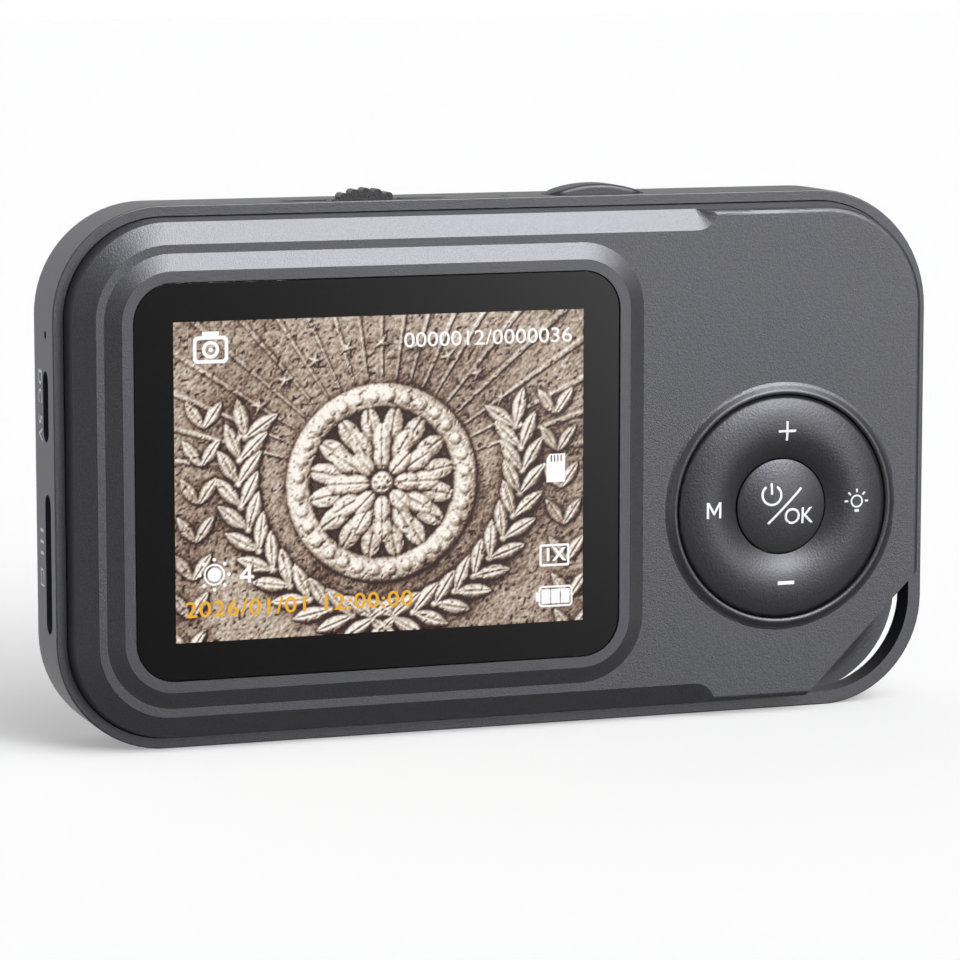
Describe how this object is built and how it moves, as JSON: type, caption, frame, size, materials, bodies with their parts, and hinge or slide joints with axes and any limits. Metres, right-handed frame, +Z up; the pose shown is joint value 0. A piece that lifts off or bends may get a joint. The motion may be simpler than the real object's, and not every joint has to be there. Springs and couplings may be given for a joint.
{
  "type": "digital microscope",
  "caption": "Pocket digital microscope with a flat colour display, a key ring, a shutter button and a thumb wheel that focuses the lens on its back.",
  "frame": {"origin": "centre of the bounding box in X and Y, at the lowest point, where it stands on its long lower edge", "axes": "+X to the right as the display is read, +Y from the display to the lens on the back, +Z up"},
  "size_m": [0.1064, 0.0226, 0.063],
  "materials": {
    "shell_plastic": "fine sparkle paint, satin",
    "key_plastic": "fine sparkle paint, satin",
    "nose_plastic": "fine texture",
    "wheel_plastic": "moulded, knurled",
    "window": "polished, dark border print behind it",
    "display": "lit picture",
    "steel": "satin",
    "tray_steel": "bright",
    "screw_steel": "black oxide",
    "rubber": "matt",
    "circuit_board": "green solder mask",
    "chip": "moulded",
    "connector": "moulded",
    "film": "amber film",
    "black_plastic": "moulded",
    "lens_glass": "coated",
    "clear_window": "clear",
    "lamp": "white chips with yellow resin",
    "battery_wrap": "aluminium foil pouch",
    "foam": "adhesive foam",
    "wire": "insulated wire"
  },
  "bodies": {
    "root": {"battery": "battery_wrap", "battery_connector": "connector", "battery_leads": "wire", "battery_pad": "foam", "board_chips": "chip", "board_screws": "steel", "card_socket": "steel", "case_screws": "screw_steel", "charge_lamp": "lamp", "display_gasket": "foam", "flex_connector": "connector", "front_cover": "shell_plastic", "image_sensor": "chip", "key_switches": "steel", "lamp_board": "circuit_board", "lamp_leads": "wire", "lamp_pipe": "clear_window", "lcd_flex": "film", "lcd_panel": "display", "lcd_tray": "tray_steel", "lens_housing": "nose_plastic", "lens_mount": "black_plastic", "main_board": "circuit_board", "microphone": "steel", "mount_screws": "steel", "nose_window": "clear_window", "power_socket": "steel", "rear_shell": "shell_plastic", "ring_lamps": "lamp", "sensor_board": "circuit_board", "sensor_connector": "connector", "sensor_filter": "lens_glass", "sensor_flex": "film", "shutter_switch": "steel", "wheel_pin": "steel", "window_glass": "window"},
    "keypad_mat": {"keypad_mat": "rubber"},
    "key_ring": {"ring_button": "key_plastic"},
    "ok_key": {"ok_button": "key_plastic"},
    "shutter": {"shutter_button": "key_plastic"},
    "focus_wheel": {"focus_wheel": "wheel_plastic"},
    "focus_ring": {"focus_ring": "black_plastic"},
    "lens_barrel": {"lens_barrel": "black_plastic", "field_lens": "lens_glass", "lens_spacer": "black_plastic", "objective_lens": "lens_glass", "lens_retainer": "black_plastic"}
  },
  "joints": [
    {"name": "focus_wheel_turn", "type": "hinge", "parent": "root", "child": "focus_wheel", "pos_m": [-0.0162, -0.00502, 0.05555], "axis": [0, 1, 0], "range_deg": [-142.5, 142.5]},
    {"name": "focus_ring_turn", "type": "hinge", "parent": "root", "child": "focus_ring", "pos_m": [-0.0162, -0.00172, 0.04205], "axis": [0, 1, 0], "range_deg": [-60.5, 60.5]},
    {"name": "lens_slide", "type": "slide", "parent": "root", "child": "lens_barrel", "axis": [0, 1, 0], "range_m": [-0.00091, 0.00091]},
    {"name": "ring_rock_side", "type": "hinge", "parent": "root", "child": "keypad_mat", "pos_m": [0.0335, -0.00773, 0.0247], "axis": [0, 0, 1], "range_deg": [-1.2, 1.2], "stiffness_Nm_per_rad": 0.1},
    {"name": "ring_rock_updown", "type": "hinge", "parent": "keypad_mat", "child": "key_ring", "pos_m": [0.0335, -0.00773, 0.0247], "axis": [1, 0, 0], "range_deg": [-1.2, 1.2], "stiffness_Nm_per_rad": 0.1},
    {"name": "ok_press", "type": "slide", "parent": "root", "child": "ok_key", "axis": [0, 1, 0], "range_m": [0, 0.0004], "stiffness_N_per_m": 500, "springref_m": -0.0002},
    {"name": "shutter_press", "type": "slide", "parent": "root", "child": "shutter", "axis": [0, 0, -1], "range_m": [0, 0.0005], "stiffness_N_per_m": 500, "springref_m": -0.0002}
  ],
  "couplings": [
    {"joint": "focus_ring_turn", "follows": "focus_wheel_turn", "ratio": -0.42105},
    {"joint": "lens_slide", "follows": "focus_wheel_turn", "m_per_rad": 0.00036187}
  ]
}
